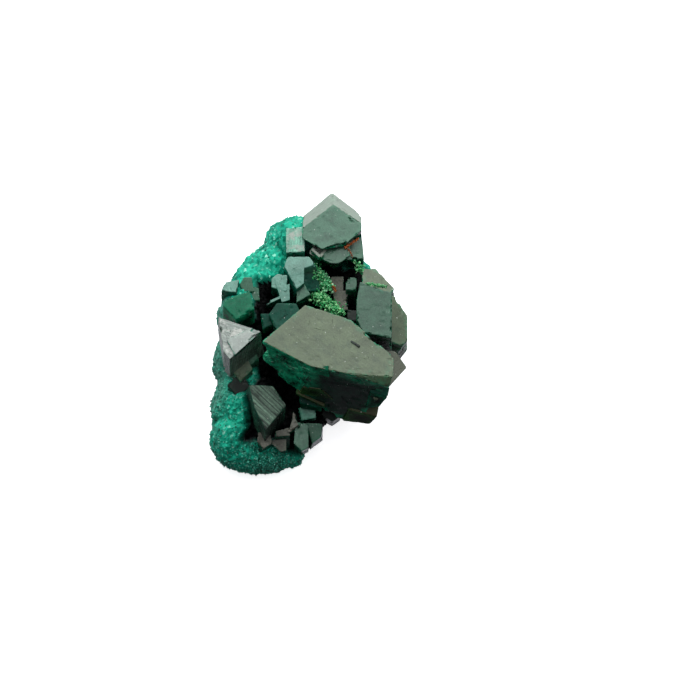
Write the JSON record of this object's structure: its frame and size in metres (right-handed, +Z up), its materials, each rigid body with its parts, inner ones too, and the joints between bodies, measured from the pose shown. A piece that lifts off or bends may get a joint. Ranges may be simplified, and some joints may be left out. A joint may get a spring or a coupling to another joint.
{
  "type": "dioptase mineral specimen",
  "caption": "Cluster of blocky dark-green prismatic crystals grown on a teal druse-crusted rock with a flat underside.",
  "frame": {"origin": "under the middle of the specimen's box, on the surface that it rests on", "axes": "+Z up from the flat underside; +Y along the specimen's long way, towards the crown crystal; +X to the right of the crystal side as seen from -Y"},
  "size_m": [0.0314, 0.0448, 0.0207],
  "materials": {
    "dioptase_deep_green": "satin natural crystal face",
    "dioptase_grey_green": "satin natural crystal face",
    "dioptase_mauve_grey": "satin natural crystal face",
    "dioptase_pale": "frosted cleavage face",
    "dioptase_sage": "satin natural crystal face",
    "druse_grass_green": "fine granular crystal crust",
    "druse_teal": "fine sparkling crystal crust",
    "matrix_teal": "granular stone crusted with fine crystals"
  },
  "bodies": {
    "root": {"matrix_rock": "matrix_teal", "main_crystal": "dioptase_sage", "crown_crystal": "dioptase_grey_green", "right_crystal": "dioptase_grey_green", "shiny_crystal": "dioptase_grey_green", "left_block": "dioptase_deep_green", "striated_crystal": "dioptase_mauve_grey", "upper_crystal": "dioptase_grey_green", "centre_crystal": "dioptase_grey_green", "hex_crystal": "dioptase_deep_green", "twin_back": "dioptase_grey_green", "twin_front": "dioptase_grey_green", "tooth_crystal": "dioptase_grey_green", "green_flank": "dioptase_deep_green", "shoulder_slab": "dioptase_grey_green", "right_flank": "dioptase_grey_green", "right_low_crystal": "dioptase_mauve_grey", "small_block": "dioptase_grey_green", "crown_step": "dioptase_grey_green", "zigzag_plate": "dioptase_grey_green", "crown_side": "dioptase_grey_green", "pale_facet": "dioptase_pale", "mauve_top": "dioptase_mauve_grey", "mauve_low": "dioptase_mauve_grey", "slot_block": "dioptase_mauve_grey", "plate_outer": "dioptase_grey_green", "plate_inner": "dioptase_grey_green", "bead_crystal": "dioptase_grey_green", "teal_block": "dioptase_deep_green", "left_body": "dioptase_deep_green", "left_plate": "dioptase_mauve_grey", "left_foot": "dioptase_deep_green", "spike_crystal": "dioptase_mauve_grey", "bottom_block": "dioptase_grey_green", "corner_block": "dioptase_grey_green", "thin_plate": "dioptase_mauve_grey", "wedge_crystal": "dioptase_mauve_grey", "step_crystal": "dioptase_mauve_grey", "chip_crystal": "druse_teal", "foot_crystal": "dioptase_deep_green", "back_prism": "dioptase_deep_green", "back_block": "dioptase_deep_green", "upper_druse": "druse_grass_green", "lower_druse": "druse_grass_green"}
  },
  "joints": []
}
